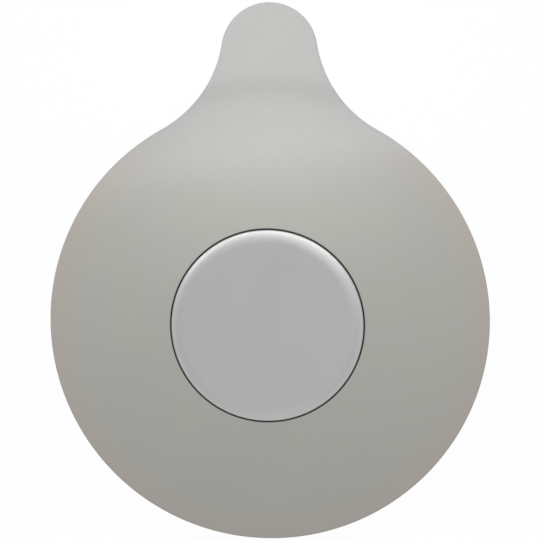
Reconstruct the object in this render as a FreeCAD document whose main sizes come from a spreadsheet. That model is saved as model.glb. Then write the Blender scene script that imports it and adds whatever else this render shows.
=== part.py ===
import FreeCAD, Part

import math
import os
import Sketcher

# Flat bath drain stopper: a domed silicone cap with a pull tab, and a weighted steel disc clamped in it.
# The origin is on the axis of the cap, in the plane of the sealing lip that lies on the bath floor.
# +Z is up and +Y runs along the pull tab. All lengths are in millimetres.

SIZES = {
    # Silicone cap
    "cap_radius": 54.0,
    "rim_height": 4.8,
    "dome_radius": 180.0,
    "dome_wall": 2.6,
    "flange_lift": 0.8,
    "flange_round": 0.6,
    "lip_inset": 1.2,
    "lip_width": 1.4,
    "ring_width": 2.0,
    "ring_round": 0.5,
    "chamber_round": 1.0,
    "boss_wall": 2.5,
    "boss_round": 1.0,
    "web_wall": 1.8,
    "pocket_round": 0.15,
    # Pull tab
    "tab_length": 16.25,
    "tab_tip_radius": 11.7,
    "tab_height": 3.2,
    "tab_taper": 0.4,
    "neck_radius": 29.0,
    "crease_radius": 10.0,
    "bend_offset": 1.2,
    # Steel cover
    "cover_radius": 23.4,
    "cover_proud": 1.2,
    "cover_sheet": 0.6,
    "lean_radius": 5.8,
    "lean_drop": 0.78,
    "corner_radius": 0.9,
    "cover_gap": 0.1,
    "crimp_lift": 0.15,
    # Weight
    "weight_height": 5.1,
    "weight_fit": 0.05,
    "weight_chamfer": 1.2,
    "spigot_radius": 4.0,
    "spigot_gap": 0.2,
    "spigot_short": 0.3,
    "thread_gap": 0.05,
    "thread_run_out": 0.6,
    # Clamp plate
    "plate_radius": 15.0,
    "plate_land": 0.4,
    "plate_round": 0.6,
    "plate_hole_gap": 0.2,
    "seat_gap": 0.05,
    # Clamp screw
    "screw_radius": 2.0,
    "screw_length": 7.0,
    "screw_point": 0.5,
    "head_radius": 3.75,
    "socket_width": 2.5,
    "socket_depth": 1.3,
    # How far a cut runs past what it cuts, and how near two places count as one
    "overrun": 5.0,
    "match_gap": 0.005,
}

doc = FreeCAD.newDocument("drain_stopper")
sheet = doc.addObject("Spreadsheet::Sheet", "dim")
for row, (name, size) in enumerate(SIZES.items(), start=1):
    sheet.set(f"A{row}", name)
    sheet.set(f"B{row}", str(size))
    sheet.setAlias(f"B{row}", name)
doc.recompute()


def value(text):
    """Number that an expression in the named sizes gives."""
    result = sheet.evalExpression(text)
    return float(getattr(result, "Value", result))


def arc_between(start, end, radius, turn, long):
    """Circular arc from start to end, counter-clockwise for a turn of 1 and clockwise for a turn of -1."""
    chord = end - start
    left = FreeCAD.Vector(-chord.y, chord.x, 0) / chord.Length
    reach = math.sqrt(max(radius**2 - (chord.Length / 2) ** 2, 0))
    side = -turn if long else turn
    centre = start + chord / 2 + left * reach * side
    first, last = (start, end) if turn > 0 else (end, start)
    angles = [math.atan2(p.y - centre.y, p.x - centre.x) for p in (first, last)]
    return Part.ArcOfCircle(Part.Circle(centre, FreeCAD.Vector(0, 0, 1), radius), *angles)


def sketch(body, name, role, corners, lift="0"):
    """Closed outline on one of the body's origin planes, raised by lift.

    A corner is (x, y) where a straight line leaves it, and (x, y, radius, turn) where an arc does, with
    "long" added for over half a circle. Every place and radius is an expression in the named sizes.
    """
    outline = body.newObject("Sketcher::SketchObject", name)
    plane = next(f for f in body.Origin.OriginFeatures if f.Role == role)
    outline.AttachmentSupport = [(plane, "")]
    outline.MapMode = "FlatFace"
    outline.setExpression("AttachmentOffset.Base.z", lift)
    points = [FreeCAD.Vector(value(c[0]), value(c[1]), 0) for c in corners]
    ends = []
    for i, corner in enumerate(corners):
        start, end = points[i], points[(i + 1) % len(points)]
        if len(corner) == 2:
            ends.append((outline.addGeometry(Part.LineSegment(start, end)), 1, 2))
            continue
        radius, turn = corner[2:4]
        arc = outline.addGeometry(arc_between(start, end, value(radius), turn, len(corner) > 4))
        bind(outline, Sketcher.Constraint("Radius", arc, value(radius)), radius)
        ends.append((arc, 1, 2) if turn > 0 else (arc, 2, 1))
    for i, (line, start, end) in enumerate(ends):
        following, next_start, _ = ends[(i + 1) % len(ends)]
        outline.addConstraint(Sketcher.Constraint("Coincident", line, end, following, next_start))
        for kind, axis, text in (("DistanceX", -2, corners[i][0]), ("DistanceY", -1, corners[i][1])):
            if text == "0":
                outline.addConstraint(Sketcher.Constraint("PointOnObject", line, start, axis))
            else:
                bind(outline, Sketcher.Constraint(kind, -1, 1, line, start, value(text)), text)
    return outline


def bind(outline, constraint, text):
    """Add a dimension to a sketch and tie it to an expression in the named sizes."""
    index = outline.addConstraint(constraint)
    outline.setExpression(f"Constraints[{index}]", text)


def turned(body, name, corners, cut=False):
    """Feature turned all the way round the Z axis from a section drawn in the XZ plane."""
    section = sketch(body, name + "_section", "XZ_Plane", corners)
    feature = body.newObject("PartDesign::Groove" if cut else "PartDesign::Revolution", name)
    feature.Profile = section
    feature.ReferenceAxis = (section, ["V_Axis"])
    doc.recompute()
    return feature


def rounded(body, name, base, edges, radius):
    """Fillet on the edges of a feature whose index is listed."""
    fillet = body.newObject("PartDesign::Fillet", name)
    fillet.Base = (base, [f"Edge{i + 1}" for i in edges])
    fillet.setExpression("Radius", radius)
    doc.recompute()
    return fillet


def circles(feature, *places):
    """Indexes of the edges that run round the Z axis at one of the given radii and heights."""
    wanted = [(value(radius), value(height)) for radius, height in places]
    near = value("dim.match_gap")
    found = []
    for i, edge in enumerate(feature.Shape.Edges):
        track = [(math.hypot(p.x, p.y), p.z) for p in edge.discretize(Number=5)]
        if any(all(math.dist(spot, place) < near for spot in track) for place in wanted):
            found.append(i)
    return found


def side_edges(feature):
    """Indexes of the upper and lower edges of the upright outer walls, but for those at the bend line."""
    bend = value(BEND_REACH)
    near = value("dim.match_gap")
    radii = [value(f"dim.{name}") for name in ("cap_radius", "neck_radius", "tab_tip_radius")]
    found = []
    for face in feature.Shape.Faces:
        wall = face.Surface
        if not isinstance(wall, Part.Cylinder) or min(abs(wall.Radius - r) for r in radii) > near:
            continue
        for edge in face.Edges:
            ends = [v.Point for v in edge.Vertexes]
            upright = math.dist(ends[0][:2], ends[-1][:2]) < near
            if not upright and max(abs(p.y - bend) for p in ends) > near:
                found += [i for i, e in enumerate(feature.Shape.Edges) if e.isSame(edge)]
    return sorted(set(found))


# The dome is part of a sphere whose middle lies on the Z axis, far below the floor.
DOME_MIDDLE = "(dim.rim_height - sqrt(dim.dome_radius^2 - dim.cap_radius^2))"
DOME_TOP = f"({DOME_MIDDLE} + dim.dome_radius)"
INNER_RADIUS = "(dim.dome_radius - dim.dome_wall)"

# The crease is a hollow arc that touches the dome and the flat top of the tab.
CREASE_RISE = f"(dim.tab_height + dim.crease_radius - {DOME_MIDDLE})"
CREASE_REACH = f"sqrt((dim.dome_radius + dim.crease_radius)^2 - {CREASE_RISE}^2)"
CREASE_SHARE = "dim.dome_radius / (dim.dome_radius + dim.crease_radius)"
BEND_REACH = f"({CREASE_REACH} + dim.bend_offset)"
TAB_REACH = f"({BEND_REACH} + dim.tab_length)"

# Each flank of the neck is a hollow arc that touches the cap's edge and the tip of the tab.
TIP_MIDDLE = f"({TAB_REACH} - dim.tab_tip_radius)"
CAP_SPAN = "(dim.cap_radius + dim.neck_radius)"
TIP_SPAN = "(dim.tab_tip_radius + dim.neck_radius)"
NECK_Y = f"(({CAP_SPAN}^2 - {TIP_SPAN}^2 + {TIP_MIDDLE}^2) / (2 * {TIP_MIDDLE}))"
NECK_X = f"sqrt({CAP_SPAN}^2 - {NECK_Y}^2)"
BEND_X = f"({NECK_X} - sqrt(dim.neck_radius^2 - ({NECK_Y} - {BEND_REACH})^2))"

# Radii that several pieces share. The ring stands midway between the boss and the lip.
LIP_OUTER = "(dim.cap_radius - dim.lip_inset)"
LIP_INNER = f"({LIP_OUTER} - dim.lip_width)"
POCKET_RADIUS = "(dim.cover_radius + dim.cover_gap)"
BOSS_RADIUS = f"({POCKET_RADIUS} + dim.boss_wall)"
RING_OUTER = f"(({BOSS_RADIUS} + {LIP_INNER} + dim.ring_width) / 2)"
RING_INNER = f"(({BOSS_RADIUS} + {LIP_INNER} - dim.ring_width) / 2)"
WEIGHT_RADIUS = "(dim.cover_radius - dim.cover_sheet - dim.weight_fit)"
THREAD_RADIUS = "(dim.screw_radius + dim.thread_gap)"
SINK_HOLE = "(dim.screw_radius + dim.plate_hole_gap)"
SINK_RADIUS = "(dim.head_radius + dim.seat_gap)"

# Heights that several pieces share, from the steel, proud of the pocket's mouth, down to the plate.
MOUTH_HEIGHT = f"({DOME_MIDDLE} + sqrt(dim.dome_radius^2 - {POCKET_RADIUS}^2))"
COVER_TOP = f"({MOUTH_HEIGHT} + dim.cover_proud)"
WEIGHT_TOP = f"({COVER_TOP} - dim.cover_sheet)"
WEB_TOP = f"({WEIGHT_TOP} - dim.weight_height)"
WEB_BOTTOM = f"({WEB_TOP} - dim.web_wall)"
PLATE_BOTTOM = f"({WEB_BOTTOM} - dim.plate_land - {SINK_RADIUS} + {SINK_HOLE})"

# The steel's edge is a wide arc that leans down from the flat top, and a small arc round to the skirt.
LEAN_COS = "(1 - dim.lean_drop / dim.lean_radius)"
LEAN_SIN = f"sqrt(1 - {LEAN_COS}^2)"
CORNER_X = "(dim.cover_radius - dim.corner_radius)"
CORNER_Z = f"({COVER_TOP} - dim.lean_drop - dim.corner_radius * {LEAN_COS})"
LEAN_X = f"({CORNER_X} - (dim.lean_radius - dim.corner_radius) * {LEAN_SIN})"
LEAN_Z = f"({COVER_TOP} - dim.lean_radius)"


def inner_height(radius):
    """Height of the hollow side of the dome at a radius."""
    return f"({DOME_MIDDLE} + sqrt({INNER_RADIUS}^2 - {radius}^2))"


def steel_edge(depth, shift):
    """Corners up along the steel's edge at a depth under its skin, moved towards the axis by a shift."""
    wide = f"(dim.lean_radius - {depth})"
    small = f"(dim.corner_radius - {depth})"
    return [
        (f"{CORNER_X} + {small} - {shift}", CORNER_Z, small, 1),
        (f"{LEAN_X} + {wide} * {LEAN_SIN} - {shift}", f"{LEAN_Z} + {wide} * {LEAN_COS}", wide, 1),
        (f"{LEAN_X} - {shift}", f"{LEAN_Z} + {wide}"),
    ]


def backwards(corners):
    """The same row of corners followed the other way."""
    places = [corner[:2] for corner in reversed(corners)]
    arcs = [(radius, -turn) for _, _, radius, turn in reversed(corners[:-1])]
    return [place + arc for place, arc in zip(places, arcs)] + places[-1:]


def make_silicone_cap():
    body = doc.addObject("PartDesign::Body", "silicone_cap")
    edge_x = f"{NECK_X} * dim.cap_radius / {CAP_SPAN}"
    edge_y = f"{NECK_Y} * dim.cap_radius / {CAP_SPAN}"
    plan = sketch(
        body,
        "plan",
        "XY_Plane",
        [
            (BEND_X, BEND_REACH),
            (f"-{BEND_X}", BEND_REACH, "dim.neck_radius", -1),
            (f"-{edge_x}", edge_y, "dim.cap_radius", 1, "long"),
            (edge_x, edge_y, "dim.neck_radius", -1),
        ],
        lift="dim.flange_lift",
    )
    block = body.newObject("PartDesign::Pad", "block")
    block.Profile = plan
    block.setExpression("Length", f"{DOME_TOP} + dim.overrun - dim.flange_lift")
    doc.recompute()

    # The top: the dome, the crease and the level neck in one section.
    beyond = f"{TAB_REACH} + dim.overrun"
    above = f"{DOME_TOP} + 2 * dim.overrun"
    dome_end = f"{CREASE_REACH} * {CREASE_SHARE}"
    dome_end_height = f"{DOME_MIDDLE} + {CREASE_RISE} * {CREASE_SHARE}"
    crown = turned(
        body,
        "crown",
        [
            ("0", DOME_TOP, "dim.dome_radius", -1),
            (dome_end, dome_end_height, "dim.crease_radius", 1),
            (CREASE_REACH, "dim.tab_height"),
            (beyond, "dim.tab_height"),
            (beyond, above),
            ("0", above),
        ],
        cut=True,
    )
    rounded(body, "flange_edges", crown, side_edges(crown), "dim.flange_round")

    # The underside: two ring-shaped chambers, and the boss that stands between them and the weight.
    below = "dim.flange_lift - dim.overrun"
    turned(
        body,
        "outer_chamber",
        [
            (RING_OUTER, below),
            (LIP_INNER, below),
            (LIP_INNER, inner_height(LIP_INNER), INNER_RADIUS, 1),
            (RING_OUTER, inner_height(RING_OUTER)),
        ],
        cut=True,
    )
    turned(
        body,
        "inner_chamber",
        [
            ("0", below),
            (RING_INNER, below),
            (RING_INNER, inner_height(RING_INNER), INNER_RADIUS, 1),
            (BOSS_RADIUS, inner_height(BOSS_RADIUS)),
            (BOSS_RADIUS, WEB_BOTTOM),
            ("0", WEB_BOTTOM),
        ],
        cut=True,
    )
    hole = "dim.spigot_radius + dim.spigot_gap"
    turned(
        body,
        "pocket",
        [
            ("0", f"{WEB_BOTTOM} - dim.overrun"),
            (hole, f"{WEB_BOTTOM} - dim.overrun"),
            (hole, WEB_TOP),
            (POCKET_RADIUS, WEB_TOP),
            (POCKET_RADIUS, above),
            ("0", above),
        ],
        cut=True,
    )
    foot = turned(
        body,
        "lip",
        [
            (LIP_INNER, "0"),
            (LIP_OUTER, "0"),
            (LIP_OUTER, "dim.flange_lift"),
            (LIP_INNER, "dim.flange_lift"),
        ],
    )
    walls = (LIP_INNER, RING_OUTER, RING_INNER, BOSS_RADIUS)
    corners = circles(foot, *[(wall, inner_height(wall)) for wall in walls])
    chambers = rounded(body, "chamber_corners", foot, corners, "dim.chamber_round")
    boss_edge = circles(chambers, (BOSS_RADIUS, WEB_BOTTOM))
    boss = rounded(body, "boss_edge", chambers, boss_edge, "dim.boss_round")
    ring_edges = circles(boss, (RING_OUTER, "dim.flange_lift"), (RING_INNER, "dim.flange_lift"))
    ring = rounded(body, "ring_edges", boss, ring_edges, "dim.ring_round")
    mouth = circles(ring, (POCKET_RADIUS, MOUTH_HEIGHT))
    rounded(body, "pocket_mouth", ring, mouth, "dim.pocket_round")
    return body


def make_pull_tab():
    body = doc.addObject("PartDesign::Body", "pull_tab")
    tip_x = f"{NECK_X} * dim.tab_tip_radius / {TIP_SPAN}"
    tip_y = f"{TIP_MIDDLE} + ({NECK_Y} - {TIP_MIDDLE}) * dim.tab_tip_radius / {TIP_SPAN}"
    plan = sketch(
        body,
        "tab_plan",
        "XY_Plane",
        [
            (BEND_X, BEND_REACH, "dim.neck_radius", -1),
            (tip_x, tip_y, "dim.tab_tip_radius", 1),
            (f"-{tip_x}", tip_y, "dim.neck_radius", -1),
            (f"-{BEND_X}", BEND_REACH),
        ],
        lift="dim.flange_lift",
    )
    plate = body.newObject("PartDesign::Pad", "tab_plate")
    plate.Profile = plan
    plate.setExpression("Length", "dim.tab_height - dim.flange_lift")
    doc.recompute()
    wedge = sketch(
        body,
        "tab_wedge",
        "YZ_Plane",
        [
            (BEND_REACH, "dim.flange_lift"),
            (BEND_REACH, "dim.flange_lift - dim.overrun"),
            (TAB_REACH, "dim.flange_lift - dim.overrun"),
            (TAB_REACH, "dim.flange_lift + dim.tab_taper"),
        ],
    )
    taper = body.newObject("PartDesign::Pocket", "tab_taper")
    taper.Profile = wedge
    taper.Type = "ThroughAll"
    taper.Midplane = True
    doc.recompute()
    rounded(body, "tab_edges", taper, side_edges(taper), "dim.flange_round")
    return body


def make_steel_cover():
    body = doc.addObject("PartDesign::Body", "steel_cover")
    inside = "(dim.cover_radius - dim.cover_sheet)"
    # The skirt is bent in under the weight at 45 degrees, so its outer bend lies lower than the inner one.
    inner_bend = f"({WEB_TOP} + dim.weight_chamfer - dim.weight_fit)"
    outer_bend = f"({inner_bend} - dim.cover_sheet * (sqrt(2) - 1))"
    hem = f"({WEB_TOP} + dim.crimp_lift)"
    hem_radius = f"(dim.cover_radius - {outer_bend} + {hem})"
    turned(
        body,
        "drawn_cover",
        [
            ("0", COVER_TOP),
            ("0", WEIGHT_TOP),
            *backwards(steel_edge("dim.cover_sheet", "0")),
            (inside, inner_bend),
            (f"{hem_radius} - dim.cover_sheet / sqrt(2)", f"{hem} + dim.cover_sheet / sqrt(2)"),
            (hem_radius, hem),
            ("dim.cover_radius", outer_bend),
            *steel_edge("0", "0"),
        ],
    )
    return body


def make_weight_slug():
    body = doc.addObject("PartDesign::Body", "weight_slug")
    spigot_end = f"({WEB_BOTTOM} + dim.spigot_short)"
    hole_end = f"({PLATE_BOTTOM} + dim.screw_length + dim.thread_run_out)"
    turned(
        body,
        "slug",
        [
            ("0", WEIGHT_TOP),
            ("0", hole_end),
            (THREAD_RADIUS, hole_end),
            (THREAD_RADIUS, spigot_end),
            ("dim.spigot_radius", spigot_end),
            ("dim.spigot_radius", WEB_TOP),
            (f"{WEIGHT_RADIUS} - dim.weight_chamfer", WEB_TOP),
            (WEIGHT_RADIUS, f"{WEB_TOP} + dim.weight_chamfer"),
            *steel_edge("dim.cover_sheet", "dim.weight_fit"),
        ],
    )
    return body


def make_clamp_plate():
    body = doc.addObject("PartDesign::Body", "clamp_plate")
    turned(
        body,
        "plate",
        [
            (SINK_HOLE, WEB_BOTTOM),
            (SINK_HOLE, f"{WEB_BOTTOM} - dim.plate_land"),
            (SINK_RADIUS, PLATE_BOTTOM),
            ("dim.plate_radius - dim.plate_round", PLATE_BOTTOM, "dim.plate_round", 1),
            ("dim.plate_radius", f"{PLATE_BOTTOM} + dim.plate_round"),
            ("dim.plate_radius", WEB_BOTTOM),
        ],
    )
    return body


def make_clamp_screw():
    body = doc.addObject("PartDesign::Body", "clamp_screw")
    tip = f"{PLATE_BOTTOM} + dim.screw_length"
    shank = turned(
        body,
        "shank",
        [
            ("0", PLATE_BOTTOM),
            ("dim.head_radius", PLATE_BOTTOM),
            ("dim.screw_radius", f"{PLATE_BOTTOM} + dim.head_radius - dim.screw_radius"),
            ("dim.screw_radius", f"{tip} - dim.screw_point"),
            ("dim.screw_radius - dim.screw_point", tip),
            ("0", tip),
        ],
    )
    full = shank.Shape.Volume
    corner = "dim.socket_width / sqrt(3)"
    hexagon = [(f"{corner} * cos({60 * i})", f"{corner} * sin({60 * i})") for i in range(6)]
    hexagon = [(x, "0" if i in (0, 3) else y) for i, (x, y) in enumerate(hexagon)]
    socket = body.newObject("PartDesign::Pocket", "socket")
    socket.Profile = sketch(body, "socket_plan", "XY_Plane", hexagon, lift=PLATE_BOTTOM)
    socket.setExpression("Length", "dim.socket_depth")
    socket.Reversed = True
    doc.recompute()
    assert socket.Shape.Volume < full, "the socket cuts nothing"
    return body


def main():
    makers = [
        make_silicone_cap,
        make_pull_tab,
        make_steel_cover,
        make_weight_slug,
        make_clamp_plate,
        make_clamp_screw,
    ]
    bodies = [make() for make in makers]
    doc.recompute()
    for item in doc.Objects:
        assert not {"Invalid", "Error"} & set(item.State), f"{item.Name}: {item.State}"
    for body in bodies:
        assert not body.Shape.isNull() and body.Shape.isValid(), f"{body.Label} has no sound shape"
        assert len(body.Shape.Solids) == 1, f"{body.Label} has {len(body.Shape.Solids)} solids"
    os.makedirs("parts", exist_ok=True)
    for body in bodies:
        body.Shape.exportStep(f"parts/{body.Label}.step")
        print(f"{body.Label}: {body.Shape.Volume:.1f} mm3")
    print(f"bend line: y {value(BEND_REACH):.3f} mm, z {value('dim.tab_height'):.3f} mm")


main()
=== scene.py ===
import math

import bmesh
import bpy
from mathutils import Matrix, Vector


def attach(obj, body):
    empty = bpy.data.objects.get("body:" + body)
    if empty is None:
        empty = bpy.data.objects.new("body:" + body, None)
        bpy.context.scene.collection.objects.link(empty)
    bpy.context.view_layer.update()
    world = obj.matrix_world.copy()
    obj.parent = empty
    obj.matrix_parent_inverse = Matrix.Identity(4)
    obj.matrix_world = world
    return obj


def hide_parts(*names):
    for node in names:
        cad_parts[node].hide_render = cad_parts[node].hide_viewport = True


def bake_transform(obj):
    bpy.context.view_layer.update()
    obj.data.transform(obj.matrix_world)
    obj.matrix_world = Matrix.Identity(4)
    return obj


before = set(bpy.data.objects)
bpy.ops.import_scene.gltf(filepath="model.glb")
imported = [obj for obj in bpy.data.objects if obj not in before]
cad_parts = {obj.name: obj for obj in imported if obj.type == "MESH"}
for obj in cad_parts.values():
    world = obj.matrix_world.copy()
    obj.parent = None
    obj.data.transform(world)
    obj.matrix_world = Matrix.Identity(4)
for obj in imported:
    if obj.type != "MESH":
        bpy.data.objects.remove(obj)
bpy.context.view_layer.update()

# Sizes of the part in millimetres, as in its source.
MM = 0.001
CAP_RADIUS = 54.0
RIM_HEIGHT = 4.8
DOME_RADIUS = 180.0
DOME_WALL = 2.6
FLANGE_LIFT = 0.8
FLANGE_ROUND = 0.6
LIP_INSET = 1.2
LIP_WIDTH = 1.4
LIP_ROUND = 0.25
RING_WIDTH = 2.0
RING_ROUND = 0.5
CHAMBER_ROUND = 1.0
BOSS_WALL = 2.5
BOSS_ROUND = 1.0
WEB_WALL = 1.8
POCKET_ROUND = 0.15
TAB_LENGTH = 16.25
TIP_RADIUS = 11.7
TAB_HEIGHT = 3.2
TAB_TAPER = 0.4
NECK_RADIUS = 29.0
CREASE_RADIUS = 10.0
BEND_OFFSET = 1.2
COVER_RADIUS = 23.4
COVER_PROUD = 1.2
COVER_SHEET = 0.6
LEAN_RADIUS = 5.8
LEAN_DROP = 0.78
CORNER_RADIUS = 0.9
COVER_GAP = 0.1
CRIMP_LIFT = 0.15
WEIGHT_HEIGHT = 5.1
WEIGHT_FIT = 0.05
WEIGHT_CHAMFER = 1.2
WEB_HOLE = 4.2

# Places that follow from the sizes.
DOME_MIDDLE = RIM_HEIGHT - math.sqrt(DOME_RADIUS**2 - CAP_RADIUS**2)
INNER_RADIUS = DOME_RADIUS - DOME_WALL
CREASE_Z = TAB_HEIGHT + CREASE_RADIUS
CREASE_REACH = math.sqrt((DOME_RADIUS + CREASE_RADIUS) ** 2 - (CREASE_Z - DOME_MIDDLE) ** 2)
DOME_END = CREASE_REACH * DOME_RADIUS / (DOME_RADIUS + CREASE_RADIUS)
BEND = CREASE_REACH + BEND_OFFSET
TIP_Y = BEND + TAB_LENGTH - TIP_RADIUS
CAP_SPAN = CAP_RADIUS + NECK_RADIUS
TIP_SPAN = TIP_RADIUS + NECK_RADIUS
NECK_Y = (CAP_SPAN**2 - TIP_SPAN**2 + TIP_Y**2) / (2 * TIP_Y)
NECK_X = math.sqrt(CAP_SPAN**2 - NECK_Y**2)
POCKET_RADIUS = COVER_RADIUS + COVER_GAP
BOSS_RADIUS = POCKET_RADIUS + BOSS_WALL
LIP_OUTER = CAP_RADIUS - LIP_INSET
LIP_INNER = LIP_OUTER - LIP_WIDTH
RING_OUTER = (BOSS_RADIUS + LIP_INNER + RING_WIDTH) / 2
RING_INNER = RING_OUTER - RING_WIDTH
MOUTH = DOME_MIDDLE + math.sqrt(DOME_RADIUS**2 - POCKET_RADIUS**2)
COVER_TOP = MOUTH + COVER_PROUD
WEIGHT_TOP = COVER_TOP - COVER_SHEET
WEB_TOP = WEIGHT_TOP - WEIGHT_HEIGHT
WEB_BOTTOM = WEB_TOP - WEB_WALL
LEAN = math.acos(1 - LEAN_DROP / LEAN_RADIUS)
CORNER_X = COVER_RADIUS - CORNER_RADIUS
CORNER_Z = COVER_TOP - LEAN_DROP - CORNER_RADIUS * math.cos(LEAN)
LEAN_X = CORNER_X - (LEAN_RADIUS - CORNER_RADIUS) * math.sin(LEAN)

# Sizes of the meshes alone, in millimetres.
POCKET_ROWS = (8.6, 9.8)  # heights of the rows on the pocket's wall, behind the cover
BOSS_OVERLAP = 0.8  # how far the dome's underside runs into the boss
BOSS_SKIN = 0.015  # how far the boss stays inside the dome's walls
BOSS_CROWN = 10.3  # top of the boss, inside the dome
WEB_ROW = 15.0  # radius of a row on the underside of the web

# Numbers of steps that the stretches of the meshes are divided into.
FLANK_STEPS = 40
RIM_STEPS = 250
BEND_STEPS = 32
EDGE_STEPS = 6
MOUTH_STEPS = 6
DOME_ROWS = 84
LIP_STEPS = 4
RING_STEPS = 5
FILLET_STEPS = 6
CEILING_STEPS = 10
BOSS_ROUND_STEPS = 6
BOSS_TURN_STEPS = 180
TAB_COLUMNS = 24
TAB_FLANK_STEPS = 14
TIP_STEPS = 40
COVER_FLAT_STEPS = 8
LEAN_STEPS = 16
CORNER_STEPS = 12
INNER_CORNER_STEPS = 6
INNER_LEAN_STEPS = 10
COVER_TURN_STEPS = 256

# Edges that turn by more than this stay sharp.
SHARP_ANGLE = math.radians(40)


def top_height(radius):
    """Height of the upper side of the moulding: dome, crease, level tab."""
    if radius <= DOME_END:
        return DOME_MIDDLE + math.sqrt(DOME_RADIUS**2 - radius**2)
    if radius < CREASE_REACH:
        return CREASE_Z - math.sqrt(CREASE_RADIUS**2 - (CREASE_REACH - radius) ** 2)
    return TAB_HEIGHT


def top_slope(radius):
    """Fall of the upper side for each millimetre outwards."""
    if radius <= DOME_END:
        return radius / math.sqrt(DOME_RADIUS**2 - radius**2)
    if radius < CREASE_REACH:
        reach = CREASE_REACH - radius
        return reach / math.sqrt(CREASE_RADIUS**2 - reach**2)
    return 0.0


def ceiling(radius):
    """Height of the hollow side of the dome."""
    return DOME_MIDDLE + math.sqrt(INNER_RADIUS**2 - radius**2)


def arc(centre, radius, start, end, steps):
    """Points on an arc between two angles in degrees, in a plane of radius and height."""
    angles = [math.radians(start + (end - start) * i / steps) for i in range(steps + 1)]
    return [(centre[0] + radius * math.cos(a), centre[1] + radius * math.sin(a)) for a in angles]


def mesh_piece(name, points, faces, material):
    """Object in metres from points in millimetres, smooth but for its sharp edges."""
    mesh = bpy.data.meshes.new(name)
    mesh.from_pydata([Vector(p) * MM for p in points], [], faces)
    shape = bmesh.new()
    shape.from_mesh(mesh)
    bmesh.ops.recalc_face_normals(shape, faces=shape.faces)
    shape.to_mesh(mesh)
    shape.free()
    mesh.polygons.foreach_set("use_smooth", [True] * len(mesh.polygons))
    mesh.set_sharp_from_angle(angle=SHARP_ANGLE)
    mesh.materials.append(material)
    obj = bpy.data.objects.new(name, mesh)
    bpy.context.scene.collection.objects.link(obj)
    return obj


def strips(rows, closed):
    """Faces between rows of point indexes with the same number of points in each."""
    faces = []
    for lower, upper in zip(rows, rows[1:]):
        count = len(lower)
        for i in range(count if closed else count - 1):
            k = (i + 1) % count
            quad = [lower[i], lower[k], upper[k], upper[i]]
            quad = [v for j, v in enumerate(quad) if v != quad[j - 1]]
            if len(quad) > 2:
                faces.append(quad)
    return faces


def turned(name, section, material, steps):
    """Closed piece turned round the Z axis from a closed section of radii and heights."""
    points, rows = [], []
    angles = [2 * math.pi * i / steps for i in range(steps)]
    for radius, height in section:
        if radius == 0:
            rows.append([len(points)] * steps)
            points.append((0, 0, height))
        else:
            rows.append(list(range(len(points), len(points) + steps)))
            points += [(radius * math.cos(a), radius * math.sin(a), height) for a in angles]
    rows.append(rows[0])
    return mesh_piece(name, points, strips(rows, True), material)


# Node materials. Coordinates are the object's own, in metres.
NOISE_RANGE = (0.3, 0.7)  # where most values of a noise lie


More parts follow.
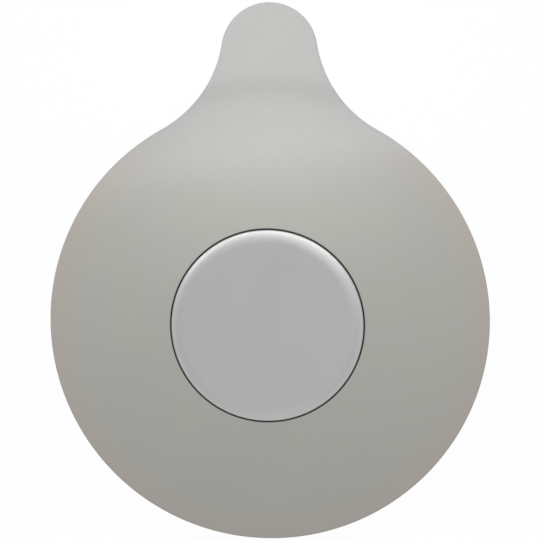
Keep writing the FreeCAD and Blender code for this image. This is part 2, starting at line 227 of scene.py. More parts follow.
class Nodes:
    """Small helper that builds a Principled material from noise, ramps and bumps."""

    # Numbers of a Mix node's sockets where it mixes colours; the last is its output.
    SHARE, FIRST, SECOND, MIXED = 0, 6, 7, 2

    def __init__(self, name):
        self.material = bpy.data.materials.new(name)
        self.material.use_nodes = True
        self.tree = self.material.node_tree
        self.shader = self.tree.nodes["Principled BSDF"]
        self.place = self.new("ShaderNodeTexCoord").outputs["Object"]

    def new(self, kind, **values):
        """Node of a kind with some of its settings."""
        node = self.tree.nodes.new(kind)
        for key, value in values.items():
            setattr(node, key, value)
        return node

    def link(self, source, target):
        """Wire from an output to an input."""
        self.tree.links.new(source, target)

    def stretched(self, scale, turn):
        """Coordinates stretched along the axes and turned about Z by degrees."""
        node = self.new("ShaderNodeMapping")
        node.inputs["Rotation"].default_value = (0, 0, math.radians(turn))
        node.inputs["Scale"].default_value = scale
        self.link(self.place, node.inputs["Vector"])
        return node.outputs["Vector"]

    def noise(self, size_mm, detail, rough=0.5, place=None):
        """Noise with lumps of about a size."""
        node = self.new("ShaderNodeTexNoise")
        node.inputs["Scale"].default_value = 1 / (size_mm * MM)
        node.inputs["Detail"].default_value = detail
        node.inputs["Roughness"].default_value = rough
        self.link(place or self.place, node.inputs["Vector"])
        return node.outputs["Fac"]

    def ramp(self, source, *stops):
        """Colour ramp with stops of (place, value or colour)."""
        node = self.new("ShaderNodeValToRGB")
        elements = node.color_ramp.elements
        while len(elements) < len(stops):
            elements.new(0.5)
        for element, (where, tone) in zip(elements, stops):
            element.position = where
            element.color = (tone,) * 3 + (1,) if isinstance(tone, float) else tuple(tone) + (1,)
        self.link(source, node.inputs["Fac"])
        return node.outputs["Color"]

    def spread(self, source, ends, low, high):
        """Value moved from the range between two ends to another range and held inside it."""
        node = self.new("ShaderNodeMapRange")
        limits = {"From Min": ends[0], "From Max": ends[1], "To Min": low, "To Max": high}
        for key, value in limits.items():
            node.inputs[key].default_value = value
        self.link(source, node.inputs["Value"])
        return node.outputs["Result"]

    def fade(self, source, run_mm, low, high):
        """Value that goes from one limit to the other over a run between two places in millimetres."""
        return self.spread(source, [end * MM for end in run_mm], low, high)

    def blend(self, share, first, second, kind="MIX"):
        """Two colours mixed; each is a socket or a colour, and the share a socket or a number."""
        node = self.new("ShaderNodeMix", data_type="RGBA", blend_type=kind)
        for index, value in ((self.SHARE, share), (self.FIRST, first), (self.SECOND, second)):
            if isinstance(value, bpy.types.NodeSocket):
                self.link(value, node.inputs[index])
            else:
                node.inputs[index].default_value = value if index == self.SHARE else tuple(value) + (1,)
        return node.outputs[self.MIXED]

    def math(self, kind, first, second):
        """Sum, difference or product of sockets or numbers."""
        node = self.new("ShaderNodeMath", operation=kind)
        for index, value in enumerate((first, second)):
            if isinstance(value, bpy.types.NodeSocket):
                self.link(value, node.inputs[index])
            else:
                node.inputs[index].default_value = value
        return node.outputs[0]

    def bump(self, height, depth_mm, under=None):
        """Normal bumped by a height, on top of another bump where one is given."""
        node = self.new("ShaderNodeBump")
        node.inputs["Strength"].default_value = 1.0
        node.inputs["Distance"].default_value = depth_mm * MM
        self.link(height, node.inputs["Height"])
        if under:
            self.link(under, node.inputs["Normal"])
        return node.outputs["Normal"]

    def axis(self, name, place=None):
        """One coordinate in metres."""
        node = self.new("ShaderNodeSeparateXYZ")
        self.link(place or self.place, node.inputs[0])
        return node.outputs[name]

    def reach(self):
        """Distance from the Z axis in metres."""
        flat = self.new("ShaderNodeVectorMath", operation="MULTIPLY")
        flat.inputs[1].default_value = (1, 1, 0)
        self.link(self.place, flat.inputs[0])
        length = self.new("ShaderNodeVectorMath", operation="LENGTH")
        self.link(flat.outputs["Vector"], length.inputs[0])
        return length.outputs["Value"]

    def finish(self, colour, rough, normal, **constants):
        """Material with its textures wired in and its other values set."""
        self.link(colour, self.shader.inputs["Base Color"])
        self.link(rough, self.shader.inputs["Roughness"])
        self.link(normal, self.shader.inputs["Normal"])
        for key, value in constants.items():
            self.shader.inputs[key.replace("_", " ")].default_value = value
        return self.material


# Tones of the silicone, their shares, and the runs in millimetres over which they come in: outwards from
# the Z axis, or along Y (the END runs and the tab's) or Z (the HEIGHT run).
SILICONE_CLOUDS = ((0.389, 0.393, 0.364), (0.399, 0.402, 0.372))
# Painted light: the tab's more neutral grey stands in for the paler look of its brighter light.
TAB_PAINTED_LIGHT_TONE = (0.394, 0.394, 0.388)
TAB_PAINTED_LIGHT_RUN = (28, 44)
BLUSH_TONE = (0.404, 0.394, 0.367)
# Painted reflection: a redder tint of reflected light at the rim.
RIM_PAINTED_TINT = (0.417, 0.386, 0.354)
RIM_PAINTED_TINT_RUN = (45.5, 52)
RIM_PAINTED_TINT_END_RUN = (33, 46)
# Painted shade: the dark tone in the crease before the tab.
CREASE_PAINTED_SHADE_TONE = (0.05, 0.05, 0.045)
CREASE_PAINTED_SHADE_END_RUN = (44, 54)
CREASE_PAINTED_SHADE_SHARE = 0.16
# Painted shade: the dark tone at the mouth of the pocket.
MOUTH_PAINTED_SHADE_TONE = (0.05, 0.045, 0.04)
MOUTH_PAINTED_SHADE_WIDTHS = (0.12, 0.27)
MOUTH_PAINTED_SHADE_RUN = [POCKET_RADIUS + width for width in MOUTH_PAINTED_SHADE_WIDTHS]
MOUTH_PAINTED_SHADE_HEIGHT_RUN = (7.2, 8.0)
MOUTH_PAINTED_SHADE_SHARE = 0.9
PALE_DUST = (0.52, 0.52, 0.50)
DARK_DUST = (0.20, 0.19, 0.17)
MOTTLE_SHARE = 0.35
SILICONE_ROUGHNESS = (0.18, 0.24)
SILICONE_GLOSS = 0.42

# Painted shade of the crease at distances from the axis in millimetres, and the length that its ramp
# covers.
CREASE_SHADE_RAMP = 100
CREASE_SHADE = (
    (52.0, 0.0),
    (55.0, 0.31),
    (57.4, 0.72),
    (58.35, 1.0),
    (58.8, 0.87),
    (59.4, 0.45),
    (60.0, 0.22),
    (60.6, 0.0),
)


def silicone_material():
    """Grey silicone, a little dusty, with painted light and shade: a more neutral grey at the brighter tab,
    a redder reflected tint at the rim, and shade in the crease and the pocket's mouth.
    """
    n = Nodes("moulded_silicone")
    along = n.axis("Y")
    reach = n.reach()
    cloud = n.noise(size_mm=26, detail=3)
    colour = n.ramp(cloud, (0.3, SILICONE_CLOUDS[0]), (0.7, SILICONE_CLOUDS[1]))
    # The tab is painted a more neutral grey, standing in for its brighter light.
    tab_painted_light_share = n.fade(along, TAB_PAINTED_LIGHT_RUN, 0.0, 1.0)
    colour = n.blend(tab_painted_light_share, colour, TAB_PAINTED_LIGHT_TONE)
    mottle = n.ramp(n.noise(size_mm=2.4, detail=4, rough=0.6), (0.25, 0.47), (0.75, 0.53))
    colour = n.blend(MOTTLE_SHARE, colour, mottle, "SOFT_LIGHT")
    blush = n.ramp(n.noise(size_mm=13, detail=2), (0.45, 0.0), (0.62, 0.55))
    blush = n.math("MULTIPLY", blush, n.math("SUBTRACT", 1.0, tab_painted_light_share))
    colour = n.blend(blush, colour, BLUSH_TONE)

    # The painted reflected tint at the rim ends before the neck, and the painted shade of the crease lies
    # in front of the tab only.
    rim = n.fade(reach, RIM_PAINTED_TINT_RUN, 0.0, 1.0)
    rim = n.math("MULTIPLY", rim, n.fade(along, RIM_PAINTED_TINT_END_RUN, 1.0, 0.0))
    colour = n.blend(rim, colour, RIM_PAINTED_TINT)
    stops = [(distance / CREASE_SHADE_RAMP, shade) for distance, shade in CREASE_SHADE]
    crease = n.ramp(n.fade(reach, (0, CREASE_SHADE_RAMP), 0.0, 1.0), *stops)
    crease = n.math("MULTIPLY", crease, n.fade(along, CREASE_PAINTED_SHADE_END_RUN, 0.0, CREASE_PAINTED_SHADE_SHARE))
    colour = n.blend(crease, colour, CREASE_PAINTED_SHADE_TONE)

    # Painted shade darkens the mouth of the pocket, but not the web below it.
    mouth = n.fade(reach, MOUTH_PAINTED_SHADE_RUN, MOUTH_PAINTED_SHADE_SHARE, 0.0)
    mouth = n.math("MULTIPLY", mouth, n.fade(n.axis("Z"), MOUTH_PAINTED_SHADE_HEIGHT_RUN, 0.0, 1.0))
    colour = n.blend(mouth, colour, MOUTH_PAINTED_SHADE_TONE)

    # The highest and lowest spots of a fine noise are specks of dust.
    dust = n.noise(size_mm=0.55, detail=1)
    colour = n.blend(n.ramp(dust, (0.765, 0.0), (0.795, 0.4)), colour, PALE_DUST)
    colour = n.blend(n.ramp(dust, (0.210, 0.35), (0.235, 0.0)), colour, DARK_DUST)
    rough = n.spread(n.noise(size_mm=5, detail=5, rough=0.65), NOISE_RANGE, *SILICONE_ROUGHNESS)
    grain = n.bump(n.noise(size_mm=0.16, detail=2), depth_mm=0.004)
    peel = n.bump(n.noise(size_mm=1.7, detail=2), depth_mm=0.004, under=grain)
    return n.finish(colour, rough, peel, Specular_IOR_Level=SILICONE_GLOSS)


# Tones of the steel, their shares, runs in millimetres, and turns of the brushing and the smear in degrees.
STEEL_CLOUDS = ((0.390, 0.389, 0.390), (0.398, 0.397, 0.397))
BRUSH_TURN = 64
BRUSH_SHARE = 0.05
BRUSH_RANGE = (0.25, 0.75)
STEEL_ROUGHNESS = (0.43, 0.49)
SMEAR_TONE = (0.387, 0.374, 0.369)
SMEAR_TURN = 20
SMEAR_WAVE = 2.5
SMEAR_RUN = (-8, 3)
SMEAR_END_RUN = (-10, 4)
SMEAR_SHARE = 0.5
# Painted highlight: the brighter tone of the smoother edge.
POLISH_PAINTED_HIGHLIGHT_TONE = (0.485, 0.485, 0.483)
POLISH_AND_HIGHLIGHT_WIDTH = 1.6
POLISH_AND_HIGHLIGHT_RUN = (COVER_RADIUS - POLISH_AND_HIGHLIGHT_WIDTH, COVER_RADIUS)
POLISH_SMOOTHING = 0.04
# Painted shade: the dark tone on the cover's corner in the seam.
SEAM_PAINTED_SHADE_TONE = (0.08, 0.075, 0.07)
SEAM_PAINTED_SHADE_WIDTH = 0.25
SEAM_PAINTED_SHADE_RUN = (COVER_RADIUS - SEAM_PAINTED_SHADE_WIDTH, COVER_RADIUS)
SEAM_PAINTED_SHADE_SHARE = 0.8
EDGE_TINT = (0.5, 0.5, 0.5, 1.0)


def steel_material():
    """Satin steel, brushed one way, with a faint warm smear, a smoother edge with a painted highlight, and
    painted shade in the seam round it.
    """
    n = Nodes("satin_stainless")
    reach = n.reach()
    brushed = n.noise(size_mm=0.5, detail=3, rough=0.6, place=n.stretched((1, 0.03, 1), BRUSH_TURN))
    cloud = n.noise(size_mm=16, detail=3)
    colour = n.ramp(cloud, (0.32, STEEL_CLOUDS[0]), (0.68, STEEL_CLOUDS[1]))
    colour = n.blend(BRUSH_SHARE, colour, n.ramp(brushed, (0.3, 0.44), (0.7, 0.56)), "SOFT_LIGHT")

    # The smear is a wavy band that fades out towards the side away from the tab.
    wave = n.spread(n.noise(size_mm=8, detail=3), NOISE_RANGE, -SMEAR_WAVE * MM, SMEAR_WAVE * MM)
    across = n.math("ADD", n.axis("X", n.stretched((1, 1, 1), SMEAR_TURN)), wave)
    smear = n.fade(across, SMEAR_RUN, 0.0, 1.0)
    smear = n.ramp(smear, (0.05, 0.0), (0.4, 1.0), (0.6, 1.0), (0.95, 0.0))
    smear = n.math("MULTIPLY", smear, n.fade(n.axis("Y"), SMEAR_END_RUN, 0.0, SMEAR_SHARE))
    colour = n.blend(smear, colour, SMEAR_TONE)
    # The edge is smoother, and its brighter colour is a painted highlight.
    polish_and_painted_highlight = n.fade(reach, POLISH_AND_HIGHLIGHT_RUN, 0.0, 1.0)
    colour = n.blend(polish_and_painted_highlight, colour, POLISH_PAINTED_HIGHLIGHT_TONE)
    # Painted shade darkens the cover's corner in the seam.
    colour = n.blend(n.fade(reach, SEAM_PAINTED_SHADE_RUN, 0.0, SEAM_PAINTED_SHADE_SHARE), colour, SEAM_PAINTED_SHADE_TONE)
    rough = n.spread(brushed, BRUSH_RANGE, *STEEL_ROUGHNESS)
    rough = n.math("SUBTRACT", rough, n.math("MULTIPLY", polish_and_painted_highlight, POLISH_SMOOTHING))
    hairs = n.bump(brushed, depth_mm=0.0006)
    long_hairs = n.noise(size_mm=0.9, detail=1, place=n.stretched((1, 0.02, 1), BRUSH_TURN))
    scratches = n.ramp(long_hairs, (0.70, 0.0), (0.74, 1.0))
    marks = n.bump(scratches, depth_mm=0.0006, under=hairs)
    return n.finish(colour, rough, marks, Metallic=1.0, Specular_Tint=EDGE_TINT)


# Tones and other values of the weight, the plate and the screw. The size of the turning is that of its
# wave texture in millimetres, whose rings lie about a third of it apart.
IRON_CLOUDS = ((0.13, 0.13, 0.137), (0.19, 0.188, 0.184))
IRON_ROUGHNESS = (0.42, 0.62)
PLATE_CLOUDS = ((0.315, 0.316, 0.31), (0.345, 0.345, 0.335))
PLATE_ROUGHNESS = (0.48, 0.62)
FLECK_SHARE = 0.5
SCREW_CLOUDS = ((0.47, 0.47, 0.475), (0.57, 0.568, 0.56))
SCREW_ROUGHNESS = (0.24, 0.40)
TURNING_SIZE = 0.9
TURNING_WOBBLE = 0.6


def iron_material():
    """Dark cast iron with a lumpy skin."""
    n = Nodes("cast_iron_core")
    cloud = n.noise(size_mm=3, detail=5, rough=0.65)
    colour = n.ramp(cloud, (0.25, IRON_CLOUDS[0]), (0.75, IRON_CLOUDS[1]))
    rough = n.spread(n.noise(size_mm=1.1, detail=4), NOISE_RANGE, *IRON_ROUGHNESS)
    cast = n.bump(n.noise(size_mm=0.7, detail=4, rough=0.6), depth_mm=0.04)
    return n.finish(colour, rough, cast, Metallic=1.0)


def plate_material():
    """Grey moulded plastic with a fine grain."""
    n = Nodes("moulded_plate")
    cloud = n.noise(size_mm=9, detail=3)
    colour = n.ramp(cloud, (0.3, PLATE_CLOUDS[0]), (0.7, PLATE_CLOUDS[1]))
    fleck = n.ramp(n.noise(size_mm=0.35, detail=2), (0.3, 0.45), (0.7, 0.55))
    colour = n.blend(FLECK_SHARE, colour, fleck, "SOFT_LIGHT")
    rough = n.spread(n.noise(size_mm=0.6, detail=3), NOISE_RANGE, *PLATE_ROUGHNESS)
    grain = n.bump(n.noise(size_mm=0.25, detail=2), depth_mm=0.02)
    return n.finish(colour, rough, grain)


def screw_material():
    """Plain stainless steel with rings from turning."""
    n = Nodes("screw_stainless")
    cloud = n.noise(size_mm=1.2, detail=4, rough=0.6)
    colour = n.ramp(cloud, (0.3, SCREW_CLOUDS[0]), (0.7, SCREW_CLOUDS[1]))
    rough = n.spread(n.noise(size_mm=0.3, detail=3, rough=0.6), NOISE_RANGE, *SCREW_ROUGHNESS)
    turning = n.new("ShaderNodeTexWave", wave_type="RINGS", rings_direction="Z")
    turning.inputs["Scale"].default_value = 1 / (TURNING_SIZE * MM)
    turning.inputs["Distortion"].default_value = TURNING_WOBBLE
    n.link(n.place, turning.inputs["Vector"])
    rings = n.bump(turning.outputs["Fac"], depth_mm=0.004)
    return n.finish(colour, rough, rings, Metallic=1.0)


SILICONE = silicone_material()
STEEL = steel_material()

# The plan of the moulding. A line of its outline is a point and the way out of the moulding there.


def flank_line(angle):
    """Line of the right flank at an angle about the flank's middle."""
    out = Vector((-math.cos(angle), -math.sin(angle)))
    return Vector((NECK_X, NECK_Y)) - NECK_RADIUS * out, out


def flank(start, end, steps):
    """Lines of the right flank between two angles."""
    return [flank_line(start + (end - start) * i / steps) for i in range(steps + 1)]


def round_end(middle_y, radius, start, end, steps):
    """Lines of a round stretch between two angles, without the first."""
    angles = [start + (end - start) * i / steps for i in range(1, steps + 1)]
    outs = [Vector((math.cos(a), math.sin(a))) for a in angles]
    return [(Vector((0, middle_y)) + out * radius, out) for out in outs]


def mirrored(lines):
    """Lines of the other side, in reverse order."""
    return [(Vector((-p.x, p.y)), Vector((-o.x, o.y))) for p, o in reversed(lines)]


def bend_end(inset):
    """Half of the bend line's length where the outline is drawn in by an inset."""
    return NECK_X - math.sqrt((NECK_RADIUS + inset) ** 2 - (NECK_Y - BEND) ** 2)


# Angles about the flank's middle where the flank starts at the cap, is bent, and ends at the tip.
FLANK_LOW = math.atan2(-NECK_Y, -NECK_X)
FLANK_BEND = math.atan2(BEND - NECK_Y, bend_end(0) - NECK_X)
FLANK_HIGH = math.atan2(TIP_Y - NECK_Y, -NECK_X)


def cap_outline():
    """Lines from the left end of the bend line round the cap to its right end."""
    right = flank(FLANK_LOW, FLANK_BEND, FLANK_STEPS)
    left = mirrored(right)
    first = math.atan2(left[-1][0].y, left[-1][0].x)
    last = math.atan2(right[0][0].y, right[0][0].x) + 2 * math.pi
    return left + round_end(0, CAP_RADIUS, first, last, RIM_STEPS)[:-1] + right


def tab_outline():
    """Lines from the right end of the bend line round the tip to its left end."""
    right = flank(FLANK_BEND, FLANK_HIGH, TAB_FLANK_STEPS)
    low = math.atan2(right[-1][0].y - TIP_Y, right[-1][0].x)
    right += round_end(TIP_Y, TIP_RADIUS, low, math.pi / 2, TIP_STEPS)
    return right + mirrored(right[:-1])


def inset(lines, index, distance):
    """Outline point drawn in by a distance; at the ends it stays in the plane of the bend line."""
    point, out = lines[index]
    if index in (0, len(lines) - 1):
        return Vector((math.copysign(bend_end(distance), point.x), BEND))
    return point - out * distance


def edge_section(point, out, floor):
    """Rounded edge of the moulding as (inset, height) from its top to its underside."""
    radius = point.length
    lean = math.atan(top_slope(radius) * max(point.normalized().dot(out), 0.0))
    r = FLANGE_ROUND
    middle = top_height(radius) + r * math.tan(lean) - r / math.cos(lean)
    turn = math.pi / 2 - lean
    upper = [lean + turn * i / EDGE_STEPS for i in range(EDGE_STEPS + 1)]
    section = [(r - r * math.sin(a), middle + r * math.cos(a)) for a in upper]
    foot = floor + r
    section.append((0.0, (middle + foot) / 2))
    lower = [math.pi / 2 * (1 - i / EDGE_STEPS) for i in range(EDGE_STEPS + 1)]
    return section + [(r - r * math.sin(a), foot - r * math.cos(a)) for a in lower]


def edge_rows(lines, floor):
    """Rows of points round the edge from its top to its underside, whose height is a function of Y."""
    sections = [edge_section(p, o, floor(p.y)) for p, o in lines]
    rows = []
    for steps in zip(*sections):
        spots = [inset(lines, i, distance) for i, (distance, height) in enumerate(steps)]
        rows.append([(s.x, s.y, height) for s, (distance, height) in zip(spots, steps)])
    return rows


def corner_arc(wall, side):
    """Hollow fillet from the ceiling to a wall under it, on the wall's outer (1) or inner (-1) side."""
    middle = wall + side * CHAMBER_ROUND
    height = DOME_MIDDLE + math.sqrt((INNER_RADIUS - CHAMBER_ROUND) ** 2 - middle**2)
    touch = math.degrees(math.atan2(height - DOME_MIDDLE, middle))
    wall_angle = 180 if side > 0 else 0
    return arc((middle, height), CHAMBER_ROUND, touch, wall_angle, FILLET_STEPS)


def ceiling_run(start, end):
    """Points on the ceiling between two radii, without the ends."""
    radii = [start + (end - start) * i / CEILING_STEPS for i in range(1, CEILING_STEPS)]
    return [(radius, ceiling(radius)) for radius in radii]


def rounded_foot(outer, inner, floor, r, steps):
    """Foot of a wall from its outer to its inner side, with both corners rounded."""
    first = arc((outer - r, floor + r), r, 0, -90, steps)
    return first + arc((inner + r, floor + r), r, -90, -180, steps)


def under_section():
    """Underside of the cap from its flange inwards: lip, chamber, ring, chamber and the boss's root."""
    ring_fillet = corner_arc(RING_OUTER, 1)
    boss_fillet = corner_arc(BOSS_RADIUS, 1)
    section = [(LIP_OUTER, FLANGE_LIFT)]
    section += rounded_foot(LIP_OUTER, LIP_INNER, 0, LIP_ROUND, LIP_STEPS)
    section += reversed(corner_arc(LIP_INNER, -1))
    section += ceiling_run(section[-1][0], ring_fillet[0][0])
    section += ring_fillet
    section += rounded_foot(RING_OUTER, RING_INNER, FLANGE_LIFT, RING_ROUND, RING_STEPS)
    section += reversed(corner_arc(RING_INNER, -1))
    section += ceiling_run(section[-1][0], boss_fillet[0][0])
    section += boss_fillet
    section.append((BOSS_RADIUS - BOSS_OVERLAP, section[-1][1]))
    return section


def silicone_dome():
    """Cap of the moulding: dome, neck, rounded edge, lip, ring and the hollow underside."""
    lines = cap_outline()
    count = len(lines)
    edge = edge_rows(lines, lambda y: FLANGE_LIFT)
    half = edge[0][-1][0]
    bend_x = [half - 2 * half * i / BEND_STEPS for i in range(1, BEND_STEPS)]
    rim_top = edge[0] + [(x, BEND, TAB_HEIGHT) for x in bend_x]
    rim_low = edge[-1] + [(x, BEND, FLANGE_LIFT) for x in bend_x]
    ways = [Vector(p[:2]).normalized() for p in rim_top]
    points, rows = [], []

    def add(row):
        rows.append(list(range(len(points), len(points) + len(row))))
        points.extend(row)

    def ring(radius, height):
        add([(w.x * radius, w.y * radius, height) for w in ways])

    # The pocket's wall and rounded mouth, then the dome out to the edge.
    slope = math.degrees(math.asin(POCKET_RADIUS / DOME_RADIUS))
    mouth_r = POCKET_RADIUS + POCKET_ROUND
    mouth_z = DOME_MIDDLE + math.sqrt((DOME_RADIUS - POCKET_ROUND) ** 2 - mouth_r**2)
    mouth = arc((mouth_r, mouth_z), POCKET_ROUND, 180, 90 - slope, MOUTH_STEPS)
    for radius, height in [(POCKET_RADIUS, height) for height in POCKET_ROWS] + mouth:
        ring(radius, height)
    start = mouth[-1][0]
    for step in range(1, DOME_ROWS):
        row = []
        for way, end in zip(ways, rim_top):
            far = math.hypot(end[0], end[1])
            radius = start + (far - start) * step / DOME_ROWS
            row.append((way.x * radius, way.y * radius, top_height(radius)))
        add(row)
    add(rim_top)
    top_row = len(rows) - 1

    # The rounded edge has no columns along the bend line, where one flat face closes the moulding.
    faces = strips(rows, True)
    outer = [rows[top_row][:count]]
    for line in edge[1:-1]:
        outer.append(list(range(len(points), len(points) + count)))
        points.extend(line)
    add(rim_low)
    low_row = len(rows) - 1
    outer.append(rows[low_row][:count])
    faces += strips(outer, False)
    face = [r[-1] for r in outer] + rows[low_row][count:] + [r[0] for r in reversed(outer)]
    faces.append(face + list(reversed(rows[top_row][count:])))

    # The underside runs in to the foot of the pocket's wall.
    for radius, height in under_section():
        ring(radius, height)
    rows.append(rows[0])
    faces += strips(rows[low_row:], True)
    return mesh_piece("silicone_dome", points, faces, SILICONE)


def silicone_boss():
    """Cup of the moulding that holds the weight, with the web that is clamped under it."""
    outer = BOSS_RADIUS - BOSS_SKIN
    inner = POCKET_RADIUS + BOSS_SKIN
    r = BOSS_ROUND
    section = [(WEB_HOLE, WEB_TOP), (WEB_HOLE, WEB_BOTTOM), (WEB_ROW, WEB_BOTTOM)]
    section += arc((outer - r, WEB_BOTTOM + r), r, -90, 0, BOSS_ROUND_STEPS)
    section += [(outer, BOSS_CROWN), (inner, BOSS_CROWN), (inner, WEB_TOP)]
    return turned("silicone_boss", section, SILICONE, BOSS_TURN_STEPS)


def tab_underside(y):
    """Height of the tab's underside, which rises towards the tip."""
    return FLANGE_LIFT + TAB_TAPER * (y - BEND) / TAB_LENGTH


def silicone_tab():
    """Free end of the moulding, from the bend line to the rounded tip, thinner towards the tip."""
    lines = tab_outline()
    apex = len(lines) // 2
    points, outer = [], []
    for row in edge_rows(lines, tab_underside):
        outer.append(list(range(len(points), len(points) + len(row))))
        points.extend(row)
    faces = strips(outer, False)

    def patch(border, level):
        """Rows across the tab between the right and left halves of a border."""
        across = []
        for k in range(apex):
            a, b = points[border[k]], points[border[-1 - k]]
            middle = [a[0] + (b[0] - a[0]) * j / TAB_COLUMNS for j in range(1, TAB_COLUMNS)]
            inner = list(range(len(points), len(points) + len(middle)))
            across.append([border[k]] + inner + [border[-1 - k]])
            points.extend((x, a[1], level(a[1])) for x in middle)
        across.append([border[apex]] * (TAB_COLUMNS + 1))
        return across

    top = patch(outer[0], lambda y: TAB_HEIGHT)
    low = patch(outer[-1], tab_underside)
    faces += strips([list(reversed(row)) for row in top], False)
    faces += strips(low, False)
    root = top[0] + [row[-1] for row in outer[1:-1]] + list(reversed(low[0]))
    root += [row[0] for row in reversed(outer[1:-1])]
    faces.append(root)
    return mesh_piece("silicone_tab", points, faces, SILICONE)


def satin_cover():
    """Drawn steel cover: flat top, rounded edge, skirt and a hem bent in under the weight."""
    inside = COVER_RADIUS - COVER_SHEET
    wide = (LEAN_X, COVER_TOP - LEAN_RADIUS)
    small = (CORNER_X, CORNER_Z)
    touch = 90 - math.degrees(LEAN)
    inner_bend = WEB_TOP + WEIGHT_CHAMFER - WEIGHT_FIT
    outer_bend = inner_bend - COVER_SHEET * (math.sqrt(2) - 1)
    hem = WEB_TOP + CRIMP_LIFT
    hem_radius = COVER_RADIUS - outer_bend + hem
    slant = COVER_SHEET / math.sqrt(2)
    section = [(LEAN_X * i / COVER_FLAT_STEPS, COVER_TOP) for i in range(COVER_FLAT_STEPS)]
    section += arc(wide, LEAN_RADIUS, 90, touch, LEAN_STEPS)
    section += arc(small, CORNER_RADIUS, touch, 0, CORNER_STEPS)[1:]
    section += [(COVER_RADIUS, outer_bend), (hem_radius, hem), (hem_radius - slant, hem + slant)]
    section += [(inside, inner_bend)]
    section += arc(small, CORNER_RADIUS - COVER_SHEET, 0, touch, INNER_CORNER_STEPS)
    section += arc(wide, LEAN_RADIUS - COVER_SHEET, touch, 90, INNER_LEAN_STEPS)[1:]
    section += [(0, WEIGHT_TOP)]
    section.reverse()
    return turned("satin_cover", section, STEEL, COVER_TURN_STEPS)


dome = silicone_dome()
boss = silicone_boss()
tab = silicone_tab()
cover = satin_cover()

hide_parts("silicone_cap")
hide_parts("pull_tab")
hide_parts("steel_cover")
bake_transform(dome)
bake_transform(tab)
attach(boss, "disc")
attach(cover, "disc")

# The other pieces keep their solids and get their own finishes.
for node, material in (
    ("weight_slug", iron_material()),
    ("clamp_plate", plate_material()),
    ("clamp_screw", screw_material()),
):
    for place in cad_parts[node].material_slots:
        place.material = material

# Floor, light and camera, in metres.
FLOOR_REACH = 4.0
FLOOR_GREY = (0.82, 0.82, 0.82, 1)
FLOOR_WHITENESS = 0.97
WORLD_STRENGTH = 0.601
WHITE = (1, 1, 1, 1)
MIDDLE = (0, 0.01, 0)


def calculated(tree, kind, first, second):
    """Output of a calculation with a socket and another socket or a number."""
    node = tree.nodes.new("ShaderNodeMath")
    node.operation = kind
    tree.links.new(first, node.inputs[0])
    if isinstance(second, bpy.types.NodeSocket):
        tree.links.new(second, node.inputs[1])
    else:
        node.inputs[1].default_value = second
    return node.outputs[0]


def seen_rays(tree):
    """1 for what is seen, directly or in a reflection or glass, and 0 for light on its way to a surface."""
    rays = tree.nodes.new("ShaderNodeLightPath")
    seen = rays.outputs["Is Camera Ray"]
    for name in ("Is Glossy Ray", "Is Transmission Ray"):
        seen = calculated(tree, "MAXIMUM", seen, rays.outputs[name])
    return seen


def show_mix(tree, share, first, second, output_kind):
    """Mix of two shaders, wired to the output."""
    both = tree.nodes.new("ShaderNodeMixShader")
    tree.links.new(share, both.inputs["Fac"])
    tree.links.new(first.outputs[0], both.inputs[1])
    tree.links.new(second.outputs[0], both.inputs[2])
    out = tree.nodes.new(output_kind)
    tree.links.new(both.outputs[0], out.inputs["Surface"])


def floor_material():
    """Almost white where it is seen, and a plain pale surface to the light, so that shadows stay."""
    material = bpy.data.materials.new("floor")
    material.use_nodes = True
    tree = material.node_tree
    tree.nodes.clear()
    share = calculated(tree, "MULTIPLY", seen_rays(tree), FLOOR_WHITENESS)
    pale = tree.nodes.new("ShaderNodeBsdfDiffuse")
    pale.inputs["Color"].default_value = FLOOR_GREY
    glow = tree.nodes.new("ShaderNodeEmission")
    glow.inputs["Strength"].default_value = 1.0
    show_mix(tree, share, pale, glow, "ShaderNodeOutputMaterial")
    return material


def studio_world():
    """Even light from all round, and white where it is seen."""
    world = bpy.data.worlds.new("studio")
    world.use_nodes = True
    tree = world.node_tree
    tree.nodes.clear()
    soft = tree.nodes.new("ShaderNodeBackground")
    white = tree.nodes.new("ShaderNodeBackground")
    for background, strength in ((soft, WORLD_STRENGTH), (white, 1.0)):
        background.inputs["Color"].default_value = WHITE
        background.inputs["Strength"].default_value = strength
    show_mix(tree, seen_rays(tree), soft, white, "ShaderNodeOutputWorld")
    return world


floor_mesh = bpy.data.meshes.new("floor")
floor_corners = [(x * FLOOR_REACH, y * FLOOR_REACH, 0) for x, y in ((-1, -1), (1, -1), (1, 1), (-1, 1))]
floor_mesh.from_pydata(floor_corners, [], [(0, 1, 2, 3)])
floor_mesh.materials.append(floor_material())
floor = bpy.data.objects.new("floor", floor_mesh)
bpy.context.scene.collection.objects.link(floor)


def lamp(name, kind, place, aim, power):
    """Lamp at a place, turned towards an aim."""
    data = bpy.data.lights.new(name, kind)
    data.energy = power
    light = bpy.data.objects.new(name, data)
    light.location = place
    light.rotation_mode = "QUATERNION"
    light.rotation_quaternion = (Vector(aim) - Vector(place)).to_track_quat("-Z", "Y")
    bpy.context.scene.collection.objects.link(light)
    return light


def panel_light(name, place, size, power):
    """Rectangular lamp turned towards the middle of the part."""
    light = lamp(name, "AREA", place, MIDDLE, power)
    light.data.shape = "RECTANGLE"
    light.data.size, light.data.size_y = size
    return light


def pool_light(name, place, aim, reach, width, power):
    """Soft spot whose pool of light fades out at a reach from its aim."""
    light = lamp(name, "SPOT", place, aim, power)
    light.data.spot_size = 2 * math.atan(reach / (Vector(place) - Vector(aim)).length)
    light.data.spot_blend = 1.0
    light.data.shadow_soft_size = width
    return light


def group(name, pieces):
    """Collection of the pieces that a lamp shows in."""
    collection = bpy.data.collections.new(name)
    for piece in pieces:
        collection.objects.link(piece)
    return collection


def reflect_only(light, pieces):
    """Lamp that shows only as a reflection in a group of pieces."""
    light.visible_diffuse = False
    light.light_linking.receiver_collection = pieces


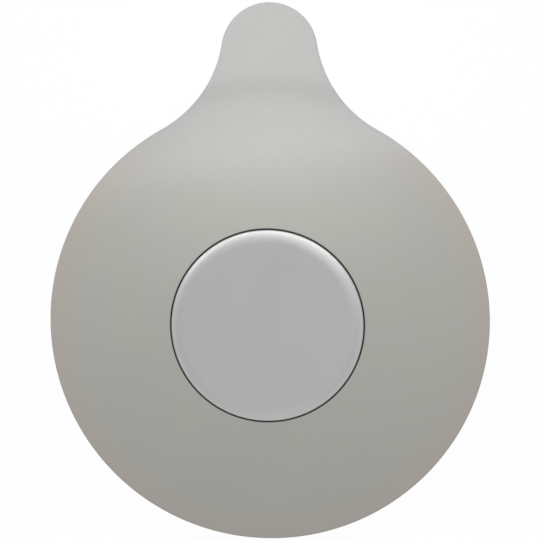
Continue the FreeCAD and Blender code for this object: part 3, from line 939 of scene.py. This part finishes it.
# A soft box stands beyond the tab, and soft spots at both sides lighten the tab and the neck.
soft_lamps = [panel_light("box", place=(0, 0.45, 0.4), size=(0.3, 0.15), power=1.703)]
for name, side in (("left", -1), ("right", 1)):
    tab_pool = pool_light(
        "tab_" + name,
        place=(0.2 * side, -0.35, 0.45),
        aim=(0, 0.08, 0),
        reach=0.042,
        width=0.012,
        power=3.052,
    )
    neck_pool = pool_light(
        "neck_" + name,
        place=(0.35 * side, 0.055, 0.55),
        aim=(0, 0.055, 0),
        reach=0.06,
        width=0.03,
        power=1.497,
    )
    soft_lamps += [tab_pool, neck_pool]
for light in soft_lamps:
    light.visible_glossy = False

# A wide strip shows as the sheen on the silicone.
strip = panel_light("strip", place=(-0.03, 0.28, 0.5), size=(0.9, 0.04), power=0.345)
reflect_only(strip, group("silicone_pieces", (dome, boss, tab)))

# Rows of cards show in the steel's rounded edge.
CARD_DISTANCE = 0.58
CARD_SIZE = (0.16, 0.12)
CARD_ROWS = (
    # Degrees from upright, degrees round from the X axis, and power.
    (60, (53, 83, 113, 143), 0.345),
    (42, (30, 60, 90), 0.079),
    (28, (30, 60, 90), 0.070),
    (42, (270,), 0.085),
)
steel_pieces = group("steel_pieces", (cover,))
for lean, headings, power in CARD_ROWS:
    tilt = Matrix.Rotation(math.radians(lean), 3, "Y")
    for heading in headings:
        way = Matrix.Rotation(math.radians(heading), 3, "Z") @ tilt
        place = Vector(MIDDLE) + way @ Vector((0, 0, CARD_DISTANCE))
        reflect_only(panel_light(f"card_{lean}_{heading}", place, CARD_SIZE, power), steel_pieces)

bpy.context.scene.world = studio_world()

# The camera looks almost straight down, from a little towards the tab and the right.
TILT = math.radians(6.54)
HEADING = math.radians(61.49)
AIM = Vector((0.029, 12.427, 0.0)) * MM
DISTANCE = 0.5
SENSOR_MM = 36.0
LENS_MM = 134.98
CLIP = (0.01, 50.0)

flat_way = Vector((math.cos(HEADING), math.sin(HEADING), 0))
back = flat_way * math.sin(TILT) + Vector((0, 0, math.cos(TILT)))
up = (Vector((0, 1, 0)) - back * back.y).normalized()
right = up.cross(back)
camera_data = bpy.data.cameras.new("camera")
camera_data.sensor_width = SENSOR_MM
camera_data.lens = LENS_MM
camera_data.clip_start, camera_data.clip_end = CLIP
camera = bpy.data.objects.new("camera", camera_data)
spin = Matrix((right, up, back)).transposed().to_4x4()
camera.matrix_world = Matrix.Translation(AIM + back * DISTANCE) @ spin
bpy.context.scene.collection.objects.link(camera)
bpy.context.scene.camera = camera
bpy.context.scene.view_settings.view_transform = "Standard"
